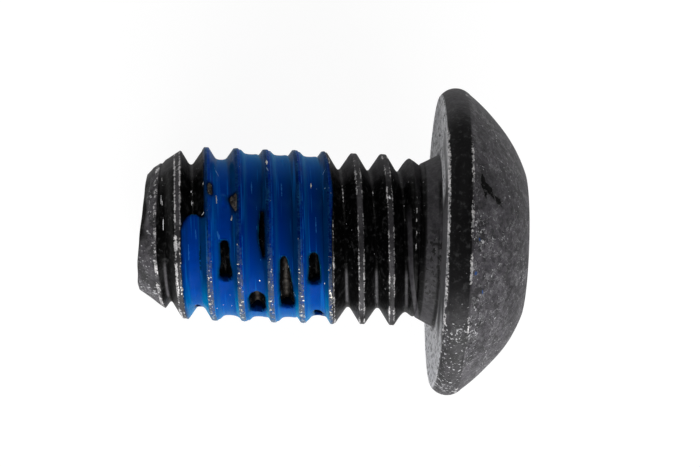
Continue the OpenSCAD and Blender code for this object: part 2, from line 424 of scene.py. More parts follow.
def steel_zones(radius, height, angle):
    """Masks of the places on the steel, mostly from 0 to 1, that its maps are made of."""
    share = helix_share(angle, height)
    turned = np.degrees(angle) % 360
    thread = (height < THREAD_TOP) & (radius > TIP_R)
    started = smooth((height - 0.85) / 0.2) * thread_depth(height)
    on_bearing = (np.abs(height - SHANK_L) < 0.02) & (radius < BEARING_R + 0.02)
    # Painted shade: a ragged wedge of the bearing face on the side toward the camera
    painted_bearing_shade = between(turned + ripple(angle, radius, 27, 14, around=9, along=4), 124, 238, 34)
    ridge_z = SHANK_L + RIDGE_H + ripple(angle, height, 22, 0.03, around=12, along=0)
    outside = radius > CROWN_R
    rim = between(height, SHANK_L - 0.01, ridge_z, 0.03) * outside
    cone = between(envelope(height) - radius, -1, 0.04, 0.03) * smooth((0.85 - height) / 0.1)
    on_neck = (height < SHANK_L + 0.01) * (radius < FLARE_R + 0.1)
    return SimpleNamespace(
        share=share,
        turned=turned,
        thread=thread,
        started=started,
        first=smooth((1.75 - height) / 0.2),
        crest=between(np.abs(share - 0.5), -1, CREST_HALF + 0.02, 0.02) * started,
        root=peak(np.minimum(share, 1 - share), 0.035) * thread * thread_depth(height),
        under_patch=smooth((patch_field(angle, height, []) + 0.04) / 0.06) * thread,
        neck=smooth((height - THREAD_TOP - 0.02) / 0.05) * on_neck,
        # The bearing face is pale grey, kept dark as painted shade in a ring beside the neck and in the
        # wedge
        pale=on_bearing * smooth((radius - FLARE_R - 0.08) / 0.08) * (1 - 0.93 * painted_bearing_shade),
        ridge_z=ridge_z,
        near_ridge=between(height - ridge_z, -0.05, 0.5, 0.1) * between(turned, 155, 250, 25) * outside,
        dome=smooth((height - ridge_z + 0.03) / 0.08),
        rim=rim,
        # The rim's lower side, specked, and lighter grey in painted light
        low_rim_specks_and_light=rim * between(turned, 186, 335, 34),
        # The tip's cone, with its upper side darker in painted shade
        cone=cone * (1 - 0.45 * between(turned, 50, 150, 30)),
    )


def wear_map(zone, radius, height, angle):
    """How far the coat is worn to bare metal, with painted highlights along the roots."""
    # Both corners of each crest, and the edge where the tip's cone cuts the first crest
    wide = 0.045 + 0.025 * zone.first * smooth((zone.turned - 165) / 20)
    corner = peak(np.abs(zone.share - 0.5) - CREST_HALF, wide) * zone.started * (1.0 + 0.4 * zone.first)
    crest = (0.5 + 0.1 * zone.first) * zone.crest
    over_cone = worn_cut(angle, height) - envelope(height)
    cone_edge = between(over_cone, -0.06, 0.24, 0.06) * (height < 1.1) * (zone.share > 0.5)
    uneven = 0.78 + ripple(angle, height, 21, 0.3, around=26, along=3)
    thread = np.maximum.reduce([corner, crest, cone_edge]) * zone.thread * uneven
    tip_edge = peak(height, 0.07) * 0.5 * (radius > 0.9 * TIP_R)
    # The corner of the bearing face, most on one side, and the ridge between the rim and the dome
    side = between(zone.turned, 124, 225, 16)
    bearing = between(height - SHANK_L, -0.06, 0.11, 0.04) * smooth((radius - BEARING_R + 0.16) / 0.05)
    bearing = bearing * (0.2 + 0.8 * side) * (1 + ripple(angle, height, 25, 0.12, around=40, along=0))
    rubbed = 0.5 + 0.25 * between(zone.turned, 124, 300, 16)
    rubbed = rubbed + ripple(angle, height, 23, 0.45, around=22, along=0)
    ridge = peak(height - zone.ridge_z, 0.07) * (radius > 4.4) * rubbed
    # Painted highlights as dots of light along the roots, and dots of light metal in the run-out
    painted_root_highlights = zone.root * between(zone.turned, 125, 172, 10)
    painted_root_highlights = painted_root_highlights * (0.6 + ripple(angle, height, 24, 0.45, around=40, along=2))
    run_out = peak(height - THREAD_TOP + 0.29, 0.03) * between(zone.turned, 138, 200, 15) * zone.thread
    run_out = run_out * (0.6 + ripple(angle, height, 28, 0.4, around=45, along=0))
    worn_and_highlit = np.clip(np.maximum.reduce([thread, tip_edge, bearing, ridge, painted_root_highlights, run_out]), 0, 1)
    # Painted shade: little of this shows in the nylon's holes
    return worn_and_highlit * (1 - 0.8 * zone.under_patch)


def tone_map(zone, radius, height, angle):
    """How far the coat is charcoal grey and not black, with painted light and shade mixed in."""
    # Painted shade: a black line runs round the neck where it meets the bearing face
    painted_crease_shade = np.minimum(1, 1.6 * peak(height - SHANK_L + 0.055, 0.05)) * between(zone.turned, 130, 265, 12)
    neck = 0.5 * zone.neck * (1 - painted_crease_shade * (radius < FLARE_R + 0.01))
    # Painted light: the rim is lighter grey on its far side and on its lower side
    painted_light_far_rim = 0.5 * zone.rim * between(zone.turned, 30, 140, 30)
    # The thread is grey in patches on its crests and on the last flank before the neck. Its upper side
    # is grey with a painted sheen, and the streaks along its roots are a painted reflection of the low
    # lamp
    crests = (0.28 + ripple(angle, height, 26, 0.3, around=9, along=4)) * zone.crest * zone.thread
    painted_upper_sheen = 0.24 * between(zone.turned, 20, 134, 12) * zone.thread
    last = (height > THREAD_TOP - 0.8) * between(zone.turned, 150, 275, 20)
    flank = between(zone.share - 0.05 - 0.2 * smooth((zone.turned - 195) / 60), 0, 0.18, 0.04)
    painted_root_reflection = 0.8 * zone.root * between(zone.turned, 203, 250, 8)
    tone_and_painted_light = np.maximum.reduce([
        neck, zone.dome, 0.75 * zone.cone, 0.05 * zone.rim, 0.33 * zone.low_rim_specks_and_light, painted_light_far_rim,
        crests, painted_upper_sheen, 0.5 * last * flank, painted_root_reflection,
    ])
    # Painted shade: the steel in the nylon's holes is kept black
    return np.clip(tone_and_painted_light * (1 - zone.under_patch), 0, 1)


def brown_spots(angle, height):
    """The spots of bare brownish steel."""
    spots = np.zeros(angle.shape)
    for chain in BROWN_SPOTS:
        spots = np.maximum(spots, smooth(1 - (chain_distance(angle, height, chain) + 0.02) / 0.05))
    return spots


def steel_maps(radius, height, angle):
    """How worn, pale, light in tone, brown, specked and pitted each point of the steel is, with painted
    light and shade in the wear, pale and tone maps.
    """
    zone = steel_zones(radius, height, angle)
    spots = brown_spots(angle, height)
    from_root = np.minimum(zone.share, 1 - zone.share)
    rusty = zone.under_patch * peak(from_root - 0.02, 0.05) * between(height, 3.8, 5.1, 0.1)
    specked = np.maximum.reduce([
        0.52 * zone.dome, 0.75 * zone.near_ridge, 0.8 * zone.low_rim_specks_and_light, 0.85 * zone.cone,
        0.2 * zone.neck, 0.25 * zone.thread, 0.6 * spots,
    ])
    pitted_neck = zone.neck * between(zone.turned, 165, 235, 20)
    pitted = np.maximum.reduce([zone.pale, pitted_neck, 0.4 * zone.dome])
    return {
        "wear_and_highlights": wear_map(zone, radius, height, angle),
        "pale": zone.pale,
        "tone_and_painted_light": tone_map(zone, radius, height, angle),
        "brown": np.maximum(spots * 0.9, rusty * 0.7),
        "specked": specked,
        "pitted": pitted,
    }


# The locking patch

def valley_place(angle, z):
    """A point's place in its valley: the offset from the middle, and the turns along the patch."""
    helix = (z - GRID_FROM) / PITCH - angle / (2 * math.pi)
    valley = np.round(helix)
    return (helix - valley) * PITCH, valley + angle / (2 * math.pi) - PATCH_TURN


def ribbon_field(offset, turn):
    """How far inside one turn of the ribbon a point lies, in mm. Below zero it is outside."""
    tongue = turn < TONGUE_TURNS
    along = turn * 2 * math.pi * ARC_R
    tip_side = np.where(tongue, polyline(along, TONGUE_TIP_SIDE), polyline(turn, TIP_SIDE))
    # The last turn ends just over its crest, a little further on the camera's side
    last_turn = 0.53 + 0.1 * peak((turn * 360 + 169) % 360 - 150, 22)
    head_side = np.where(turn > PATCH_TURNS - 1, last_turn, 0.6)
    head_side = np.where(tongue, polyline(along, TONGUE_HEAD_SIDE), head_side)
    end = (PATCH_TURNS - turn) * 2 * math.pi * ARC_R - 0.6 * (offset / 0.5) ** 2
    return np.minimum.reduce([offset - tip_side, head_side - offset, end, along])


def chain_distance(angle, z, chain):
    """The distance from a chain of thick strokes drawn on the thread, in mm. Inside it is below zero."""
    best = np.full(np.broadcast(angle, z).shape, 9.0)
    for (a1, z1, r1), (a2, z2, r2) in zip(chain, chain[1:]):
        x = ((np.degrees(angle) - a1 + 180) % 360 - 180) * math.pi / 180 * VOID_ARC_R
        step = (math.radians(a2 - a1) * VOID_ARC_R, z2 - z1)
        t = np.clip((x * step[0] + (z - z1) * step[1]) / (step[0] ** 2 + step[1] ** 2), 0, 1)
        away = np.hypot(x - step[0] * t, z - z1 - step[1] * t)
        best = np.minimum(best, away - (r1 + (r2 - r1) * t))
    return best


def patch_field(angle, z, voids=VOIDS):
    """About the distance to the patch's edge, in mm. The nylon is where it is above zero."""
    offset, turn = valley_place(angle, z)
    field = np.maximum.reduce([ribbon_field(offset - k * PITCH, turn + k) for k in (-1, 0, 1)])
    for chain in voids:
        field = np.minimum(field, chain_distance(angle, z, chain))
    return field + ripple(angle, z, 11, 0.007, waves=40, around=60, along=30)


def nylon_depth(angle, z, field):
    """The nylon's thickness over the thread: a film on the crests, a hollow fill in the valleys."""
    offset, turn = valley_place(angle, z)
    across = np.abs(2 * offset / PITCH)
    hollow = polyline(turn, PATCH_SINK) * (1 - across ** 2.4)
    # A ridge along the flank toward the tip, a furrow in places along the other, and the small drop
    shoulder = 0.07 * peak(offset + 0.33, 0.08)
    flowing = smooth(ripple(angle, z, 12, 1.0, around=5, along=1.0) + 0.6)
    flow = 0.08 * peak(offset - 0.31, 0.07) * flowing
    drop = 0.09 * smooth(1.2 - chain_distance(angle, z, NYLON_DROP) / 0.12)
    level = CREST_R - hollow + shoulder - flow + drop + ripple(angle, z, 13, 0.006, around=9, along=4)
    film = PATCH_FILM + ripple(angle, z, 14, 0.005, around=30, along=12)
    over = level + PATCH_FILM - thread_r(angle, z) - film
    soft = 0.02
    depth = film + 0.5 * (over + np.sqrt(over ** 2 + soft ** 2))
    lip = np.clip(field / 0.07, 0, 1)
    return np.maximum(depth, 0.012) * (0.45 + 0.55 * np.sqrt(1 - (1 - lip) ** 2))


def nylon_r(angle, z):
    """The radius of the nylon's outer skin."""
    return thread_r(angle, z) + nylon_depth(angle, z, patch_field(angle, z))


def clip_sheet(field, triangles):
    """Cuts a sheet of triangles along the line where its field is zero.

    Gives the faces kept, the edges of the cut, and the new points as (point, point, share between).
    """
    inside = field > 0
    count = inside[triangles].sum(1)
    faces = triangles[count == 3].tolist()
    made, cuts, rim = {}, [], []

    def cut(a, b):
        key = (min(a, b), max(a, b))
        if key not in made:
            made[key] = len(field) + len(cuts)
            cuts.append((*key, field[key[0]] / (field[key[0]] - field[key[1]])))
        return made[key]

    for corners in triangles[(count == 1) | (count == 2)].tolist():
        face, gate = [], []
        for a, b in zip(corners, corners[1:] + corners[:1]):
            if inside[a]:
                face.append(a)
            if inside[a] != inside[b]:
                face.append(cut(a, b))
                gate.append((inside[a], face[-1]))
        faces.append(face)
        leaving = next(g[1] for g in gate if g[0])
        entering = next(g[1] for g in gate if not g[0])
        rim.append((leaving, entering))
    return faces, rim, cuts


def make_patch(material):
    """The nylon as one closed skin: the part of the thread's grid inside its outline, made thick."""
    rows = np.arange(int(PATCH_GRID[0] * ROWS), PATCH_GRID[1] * ROWS)
    columns = np.arange(COLUMNS)
    share = SHARES[rows % ROWS]
    z = GRID_FROM + PITCH * (columns[:, None] / COLUMNS + rows // ROWS - 1 + share)
    angle = np.broadcast_to(ANGLES[:, None], z.shape)
    number = np.arange(z.size).reshape(z.shape)
    # One turn on, a row meets the row one pitch further
    ahead = np.concatenate([number[1:], np.full((1, len(rows)), -1)])
    ahead[-1, :-ROWS] = number[0, ROWS:]
    corners = cells(number, ahead)
    corners = corners[(corners >= 0).all(1)]
    triangles = np.concatenate([corners[:, [0, 1, 2]], corners[:, [0, 2, 3]]])
    field = patch_field(angle, z)
    depth = nylon_depth(angle, z, field)
    inner_r = thread_r(angle, z)
    offset, turn = valley_place(angle, z)
    turned = np.degrees(angle) % 360
    # The crests are scuffed, with the scuffs made stronger and lighter toward the lower side as painted
    # light from below. The later turns carry painted shade on the side toward the camera, and the lower
    # side counts as thicker, so that its blue is fuller as painted light from below.
    lit_from_below = smooth((turned - 165) / 65)
    scuff = smooth((np.abs(offset) - 0.4 + 0.025 * lit_from_below) / 0.04) * (0.4 + 0.6 * lit_from_below)
    painted_front_shade = smooth((turn - 1.2) / 0.6) * between(turned, 105, 228, 45)
    film = depth + 0.08 * smooth((turned - 205) / 30)
    inside = np.clip(field / 0.1, 0, 1)
    faces, rim, cuts = clip_sheet(field.ravel(), triangles)

    def with_cuts(values):
        flat = values.reshape(z.size, -1)
        a, b, t = (np.array([c[k] for c in cuts]) for k in range(3))
        crossing = flat[a.astype(int)] * (1 - t[:, None]) + flat[b.astype(int)] * t[:, None]
        return np.concatenate([flat, crossing])

    def skin(r):
        return with_cuts(np.stack([r * np.cos(angle), r * np.sin(angle), z], -1))

    points = np.concatenate([skin(inner_r + depth), skin(inner_r)])
    under = z.size + len(cuts)
    inner = [[under + p for p in reversed(face)] for face in faces]
    walls = [[q, p, under + p, under + q] for p, q in rim]
    outer = np.concatenate([np.array(face) for face in faces])
    others = sum(len(face) for face in inner + walls)

    def on_corners(values):
        """The values on the outer skin's corners. The walls and the inner skin keep 0."""
        return np.pad(with_cuts(values).ravel()[outer], (0, others))

    maps = {"film": film, "scuff": scuff, "offset": offset, "painted_front_shade": painted_front_shade, "inside": inside}
    attributes = {key: on_corners(values) for key, values in maps.items()}
    piece = mesh_piece("patch_finish", points, faces + inner + walls, material, attributes, "CORNER")
    drop_loose_points(piece)
    return piece


# Materials

def add(tree, kind, inputs=None, **settings):
    """Adds a node, sets its properties, and links or sets its inputs by name or number."""
    made = tree.nodes.new(kind)
    for key, value in settings.items():
        setattr(made, key, value)
    for key, value in (inputs or {}).items():
        socket = made.inputs[key]
        if isinstance(value, bpy.types.NodeSocket):
            tree.links.new(value, socket)
        else:
            socket.default_value = value
    return made


def maths(tree, operation, a, b=0.0, clamp=False):
    """One step of arithmetic on two values."""
    return add(tree, "ShaderNodeMath", {0: a, 1: b}, operation=operation, use_clamp=clamp).outputs[0]


def times(tree, a, b):
    return maths(tree, "MULTIPLY", a, b)


def plus(tree, a, b):
    return maths(tree, "ADD", a, b)


def minus(tree, a, b):
    return maths(tree, "SUBTRACT", a, b)


def larger(tree, a, b):
    return maths(tree, "MAXIMUM", a, b)


def distance_from(tree, middle, value):
    return maths(tree, "ABSOLUTE", minus(tree, value, middle))


def vector_maths(tree, operation, inputs):
    """One step of arithmetic on vectors. Gives the node's outputs."""
    return add(tree, "ShaderNodeVectorMath", inputs, operation=operation).outputs


def ramp(tree, value, low, high, to_low=0.0, to_high=1.0):
    """Maps a value from low..high to to_low..to_high, held at both ends."""
    inputs = {0: value, 1: low, 2: high, 3: to_low, 4: to_high}
    return add(tree, "ShaderNodeMapRange", inputs, clamp=True).outputs[0]


def blend_colour(tree, share, a, b):
    """The first colour where the share is 0, the second where it is 1."""
    return add(tree, "ShaderNodeMix", {0: share, 6: a, 7: b}, data_type="RGBA").outputs[2]


def noise(tree, place, scale, detail=2.0, rough=0.5, seed=0.0):
    """A noise whose scale is in features per millimetre."""
    moved = vector_maths(tree, "ADD", {0: place, 1: (seed, seed * 0.7, seed * 1.3)})[0]
    inputs = {"Vector": moved, "Scale": scale, "Detail": detail, "Roughness": rough}
    return add(tree, "ShaderNodeTexNoise", inputs).outputs[0]


def mesh_values(tree, *names):
    """The values that the mesh carries under these names."""
    return [add(tree, "ShaderNodeAttribute", attribute_name=name).outputs["Fac"] for name in names]


def new_material(name):
    """A material, its empty node tree and the place on the object in millimetres."""
    material = bpy.data.materials.new(name)
    material.use_nodes = True
    tree = material.node_tree
    tree.nodes.clear()
    place = add(tree, "ShaderNodeTexCoord").outputs["Object"]
    return material, tree, vector_maths(tree, "SCALE", {0: place, 3: 1 / MM})[0]


def finish_material(tree, shader):
    out = add(tree, "ShaderNodeOutputMaterial")
    tree.links.new(shader.outputs[0], out.inputs["Surface"])


def grey(level, warm=0.0):
    """A near-neutral colour, warmer for a positive second value."""
    return (level * (1 + warm), level, level * (1 - warm) * 1.03, 1)


def steel_r(angle, z):
    """The steel's radius, on the thread or on the head's rim and dome."""
    outline = head_outline()
    return np.interp(z, outline[:, 1], outline[:, 0]) if z > SHANK_L else thread_r(angle, z)


def on_surface(degrees, z, radius_of):
    """A point of the upright screw's surface, as it lies, in millimetres."""
    angle = math.radians(degrees)
    r = float(radius_of(angle, z))
    return LIE @ Vector((r * math.cos(angle), r * math.sin(angle), z)) / MM


def stroke(tree, place, start, end, width):
    """1 on a thin mark between two points, fading to 0 at its width and toward both of its ends."""
    line = end - start
    from_start = vector_maths(tree, "SUBTRACT", {0: place, 1: start})[0]
    reach = vector_maths(tree, "DOT_PRODUCT", {0: from_start, 1: line / line.length_squared})["Value"]
    held = ramp(tree, reach, 0, 1)
    foot = vector_maths(tree, "SCALE", {0: line, 3: held})[0]
    away = vector_maths(tree, "DISTANCE", {0: from_start, 1: foot})["Value"]
    away = plus(tree, away, times(tree, distance_from(tree, 0.5, held), width))
    return ramp(tree, away, width, 0.4 * width)


def strokes(tree, place, marks, radius_of):
    """The marks of a list of (angle, z, angle, z, width), drawn on the surface with the given radius."""
    total = None
    for a1, z1, a2, z2, width in marks:
        made = stroke(tree, place, on_surface(a1, z1, radius_of), on_surface(a2, z2, radius_of), width)
        total = made if total is None else larger(tree, total, made)
    return total


def ragged_strokes(tree, place, marks, radius_of):
    """The same marks, broken up by a noise."""
    eaten = ramp(tree, noise(tree, place, 9.0, 3, 0.7, seed=15.0), 0.35, 0.6, 0.8, 0.0)
    return ramp(tree, minus(tree, strokes(tree, place, marks, radius_of), eaten), 0.0, 0.3)


# Colours of the steel and the nylon
CHARCOAL_DARK = (0.044, 0.04, 0.048, 1)
CHARCOAL_LIGHT = (0.078, 0.072, 0.083, 1)
BLUE_TRACE = (0.008, 0.06, 0.22, 1)
BARE_STEEL = (0.62, 0.58, 0.5, 1)
THIN_BLUE = (0.0003, 0.009, 0.03, 1)
FULL_BLUE = (0.0, 0.02, 0.22, 1)
CLOUDY_BLUE = (0.0, 0.012, 0.15, 1)
HEAD_SIDE_SHADE_BLUE = (0.0, 0.01, 0.11, 1)
FRONT_SHADE_BLUE = (0.0, 0.004, 0.115, 1)
FRONT_SHADE_HEAD_SIDE_BLUE = (0.0, 0.003, 0.045, 1)
FLOW_HIGHLIGHT_BLUE = (0.003, 0.11, 0.42, 1)
RIDGE_HIGHLIGHT_BLUE = (0.003, 0.09, 0.36, 1)
EDGE_BLUE = (0.0, 0.002, 0.008, 1)
PIT_BLUE = (0.003, 0.008, 0.03, 1)
STREAK_BLUE = (0.03, 0.16, 0.45, 1)
SCRATCH_BLUE = (0.25, 0.38, 0.55, 1)
BLUE_CHALK = (0.009, 0.066, 0.16, 1)
GREY_CHALK = (0.075, 0.08, 0.085, 1)

# Marks on the steel: (angle, z, angle, z, width)
HEAD_GOUGES = [
    (152, 11.08, 163, 11.26, 0.28), (156, 11.2, 162, 11.54, 0.32), (160, 11.53, 164, 11.83, 0.25),
]
HEAD_SCRATCHES = [
    (172.5, 10.86, 171.7, 11.13, 0.09), (171.7, 11.13, 174, 11.21, 0.09), (175, 10.86, 176, 11.0, 0.09),
    (179.4, 10.98, 180, 11.26, 0.08), (186, 11.78, 191.7, 11.77, 0.08), (197, 12.52, 206, 12.7, 0.09),
    (209, 11.62, 210, 11.84, 0.09), (154, 11.13, 152, 11.24, 0.08), (162, 12.4, 166.7, 12.52, 0.08),
    (218, 11.54, 225.6, 11.74, 0.08), (171.7, 11.53, 173.2, 11.6, 0.1),
]
# Light burrs and specks, and painted highlights on the roots near the tip
STEEL_BURRS_AND_HIGHLIGHTS = [
    (128, 2.1, 124, 2.108, 0.028), (145, 2.09, 142, 2.165, 0.028), (167, 2.13, 165, 2.215, 0.028),
    (172, 2.13, 170, 2.215, 0.028), (150, 8.25, 152, 8.28, 0.05), (149.1, 0.74, 156.6, 0.755, 0.024),
    (168.5, 0.849, 178, 0.864, 0.024), (143, 1.722, 145, 1.726, 0.025),
    (152.5, 1.751, 157, 1.761, 0.025),
]
BLUE_SPECKS = [
    (190.5, 10.95, 191.5, 10.98, 0.09), (178.2, 11.03, 179.2, 11.07, 0.05),
    (198.2, 11.23, 200, 11.25, 0.04),
]
# Marks on the nylon, written in the same way
NYLON_SCRATCHES = [
    (125, 2.457, 133, 2.604, 0.03), (227, 3.100, 231, 3.450, 0.03), (144, 5.851, 146, 6.272, 0.03),
    (132, 6.053, 129, 6.136, 0.03), (129, 4.171, 133, 4.248, 0.03), (218.6, 5.034, 225.5, 5.297, 0.03),
]
NYLON_STREAKS = [
    (178, 2.64, 184, 2.73, 0.055), (188, 1.708, 200, 1.737, 0.035), (177, 1.933, 184, 1.958, 0.03),
    (159, 3.898, 176, 3.939, 0.035), (183, 3.998, 197, 4.097, 0.03), (140, 3.7, 150, 3.73, 0.035),
    (140, 4.69, 151, 4.72, 0.04), (166, 5.856, 177, 5.886, 0.03),
]
NYLON_GLINTS = [
    (121, 4.174, 126, 4.193, 0.05), (139, 5.674, 144, 5.678, 0.03), (152, 2.560, 158, 2.587, 0.03),
    (167, 3.111, 171, 3.087, 0.035), (212, 4.078, 213, 4.09, 0.022), (213, 6.231, 214, 6.24, 0.025),
    (239, 2.695, 240, 2.7, 0.025), (239, 2.895, 240, 2.9, 0.022), (240, 3.172, 241, 3.18, 0.022),
]
# Patches of chalky scuffs on the crests, and a dark streak where the nylon is thin
NYLON_RUBS = [
    (149, 4.288, 164, 4.278, 0.13), (150, 5.283, 160, 5.295, 0.13), (122, 5.2, 128, 5.22, 0.1),
]
NYLON_SHADE = [(187, 2.109, 207, 2.141, 0.07)]


def charcoal(tree, place, broad, fine, tone_and_painted_light, specked):
    """The head's purplish charcoal, blotched pale and dark, with pale veins."""
    light = blend_colour(tree, ramp(tree, broad, 0.36, 0.64), CHARCOAL_DARK, CHARCOAL_LIGHT)
    light = blend_colour(tree, ramp(tree, fine, 0.48, 0.66, 0, 0.6), light, grey(0.11))
    light = blend_colour(tree, ramp(tree, fine, 0.46, 0.34, 0, 0.5), light, grey(0.014))
    blotch = ramp(tree, noise(tree, place, 2.4, 4, 0.65, seed=18.0), 0.53, 0.43)
    blotch = times(tree, blotch, ramp(tree, specked, 0.4, 0.6, 0.15, 0.75))
    light = blend_colour(tree, blotch, light, grey(0.009))
    vein = distance_from(tree, 0.5, noise(tree, place, 2.4, 4, 0.6, seed=12.0))
    vein = times(tree, ramp(tree, vein, 0.022, 0.004), ramp(tree, broad, 0.42, 0.52, 0, 0.65))
    vein = times(tree, vein, ramp(tree, tone_and_painted_light, 0.7, 0.9))
    return blend_colour(tree, vein, light, grey(0.22))


def steel_coat(tree, place, fine, tone_and_painted_light, specked):
    """The unworn coat: black on the thread, charcoal on the head, pale, brown and pitted in places."""
    pale, brown, pitted = mesh_values(tree, "pale", "brown", "pitted")
    broad = noise(tree, place, 1.3, 4, 0.6)
    dark = blend_colour(tree, ramp(tree, fine, 0.54, 0.66), grey(0.001), grey(0.02))
    coat = blend_colour(tree, tone_and_painted_light, dark, charcoal(tree, place, broad, fine, tone_and_painted_light, specked))
    coat = blend_colour(tree, pale, coat, grey(0.54))
    rust = blend_colour(tree, ramp(tree, fine, 0.4, 0.6), grey(0.012, 0.16), grey(0.085, 0.16))
    coat = blend_colour(tree, brown, coat, rust)
    pits = ramp(tree, noise(tree, place, 6.5, 2, 0.6, seed=8.0), 0.55, 0.575)
    return blend_colour(tree, times(tree, pitted, pits), coat, grey(0.004))


def pale_specks(tree, place, grit, specked):
    """1 on the specks and scratches where the coat is rubbed, in clusters."""
    cluster = times(tree, minus(tree, noise(tree, place, 1.0, 3, 0.6, seed=9.0), 0.5), 0.3)
    specked = larger(tree, specked, strokes(tree, place, HEAD_SCRATCHES, steel_r))
    speck_at = minus(tree, ramp(tree, specked, 0, 1, 0.745, 0.565), cluster)
    return ramp(tree, minus(tree, grit, speck_at), 0.0, 0.05)


def black_oxide_steel():
    """Blackened steel, worn bright along its edges."""
    material, tree, place = new_material("black_oxide_steel")
    worn_and_highlit, tone_and_painted_light, specked = mesh_values(tree, "wear_and_highlights", "tone_and_painted_light", "specked")
    fine = noise(tree, place, 5.5, 4, 0.7, seed=4.0)
    grit = noise(tree, place, 10.0, 3, 0.65, seed=2.0)
    colour = steel_coat(tree, place, fine, tone_and_painted_light, specked)
    specks = pale_specks(tree, place, grit, specked)
    colour = blend_colour(tree, times(tree, specks, 0.8), colour, grey(0.45))
    # Wear, and the painted highlights along the roots, let a noise through as bare metal
    bare = ramp(tree, plus(tree, times(tree, worn_and_highlit, 0.5), grit), 0.86, 0.99)
    metal = blend_colour(tree, ramp(tree, fine, 0.4, 0.6), grey(0.25), grey(0.7, 0.03))
    colour = blend_colour(tree, bare, colour, metal)
    # The gouge on the dome: a dull edge round a torn black middle
    gouge = strokes(tree, place, HEAD_GOUGES, steel_r)
    colour = blend_colour(tree, times(tree, gouge, 0.55), colour, grey(0.008))
    torn = times(tree, noise(tree, place, 5.0, 3, 0.7, seed=21.0), 1.5)
    gouge = ramp(tree, plus(tree, gouge, torn), 1.5, 1.62)
    colour = blend_colour(tree, gouge, colour, grey(0.002))
    # Light burrs and specks, and painted highlights on the roots
    burrs_and_highlights = ragged_strokes(tree, place, STEEL_BURRS_AND_HIGHLIGHTS, steel_r)
    colour = blend_colour(tree, burrs_and_highlights, colour, grey(0.7))
    blue = ragged_strokes(tree, place, BLUE_SPECKS, steel_r)
    colour = blend_colour(tree, times(tree, blue, 0.85), colour, BLUE_TRACE)
    height = plus(tree, times(tree, grit, 0.4), times(tree, fine, 0.6))
    height = times(tree, minus(tree, height, gouge), ramp(tree, tone_and_painted_light, 0, 1, 0.6, 1.0))
    bump = add(tree, "ShaderNodeBump", {"Strength": 0.9, "Distance": 0.045 * MM, "Height": height})
    shine = maths(tree, "SUBTRACT", tone_and_painted_light, gouge, clamp=True)
    shader = add(tree, "ShaderNodeBsdfPrincipled", {
        "Base Color": colour,
        "Metallic": times(tree, bare, 0.6),
        "Roughness": ramp(tree, larger(tree, tone_and_painted_light, bare), 0, 0.04, 0.35, 0.55),
        "IOR": 1.35,
        "Specular IOR Level": ramp(tree, shine, 0, 0.3, 0.12, 0.5),
        "Normal": bump.outputs[0],
    })
    finish_material(tree, shader)
    return material


def flow_lines(tree, place, offset):
    """A noise stretched along the valleys, as the nylon flowed."""
    stretched = vector_maths(tree, "MULTIPLY", {0: place, 1: (0.45, 0.45, 0.45)})[0]
    inputs = {"Vector": stretched, "W": times(tree, offset, 12.0), "Scale": 1.0, "Detail": 1.0}
    return add(tree, "ShaderNodeTexNoise", inputs, noise_dimensions="4D").outputs[0]


def nylon_body(tree, place, film, offset, inside, broad, lines):
    """The unworn blue, by the nylon's thickness and the place in the valley, with painted light and
    shade.
    """
    painted_front_shade = mesh_values(tree, "painted_front_shade")[0]
    # Painted light: the flank toward the tip is made as full as the valley's middle. The other has only
    # a dark film. The film's thickness also carries painted light on the lower side.
    thick = plus(tree, film, times(tree, ramp(tree, offset, -0.12, -0.3), 0.1))
    body = blend_colour(tree, ramp(tree, thick, 0.035, 0.14), THIN_BLUE, FULL_BLUE)
    body = blend_colour(tree, ramp(tree, broad, 0.42, 0.7, 0, 0.5), body, CLOUDY_BLUE)
    # Painted shade: each valley darkens toward the head, and the later turns on the camera's side are
    # darker
    body = blend_colour(tree, ramp(tree, offset, -0.1, 0.25, 0, 0.5), body, HEAD_SIDE_SHADE_BLUE)
    front_shade = blend_colour(tree, ramp(tree, offset, -0.2, 0.2), FRONT_SHADE_BLUE, FRONT_SHADE_HEAD_SIDE_BLUE)
    body = blend_colour(tree, times(tree, painted_front_shade, 0.85), body, front_shade)
    # Painted highlights along the flow lines and along the ridge
    body = blend_colour(tree, ramp(tree, lines, 0.6, 0.72, 0, 0.4), body, FLOW_HIGHLIGHT_BLUE)
    ridge = ramp(tree, distance_from(tree, -0.395, offset), 0.022, 0.008)
    ridge = times(tree, ridge, ramp(tree, broad, 0.62, 0.45, 0.1, 0.75))
    body = blend_colour(tree, ridge, body, RIDGE_HIGHLIGHT_BLUE)
    # Dark along the patch's edges and in one streak
    shade = ragged_strokes(tree, place, NYLON_SHADE, nylon_r)
    dark = larger(tree, shade, ramp(tree, inside, 1, 0))
    return blend_colour(tree, times(tree, dark, 0.9), body, EDGE_BLUE)


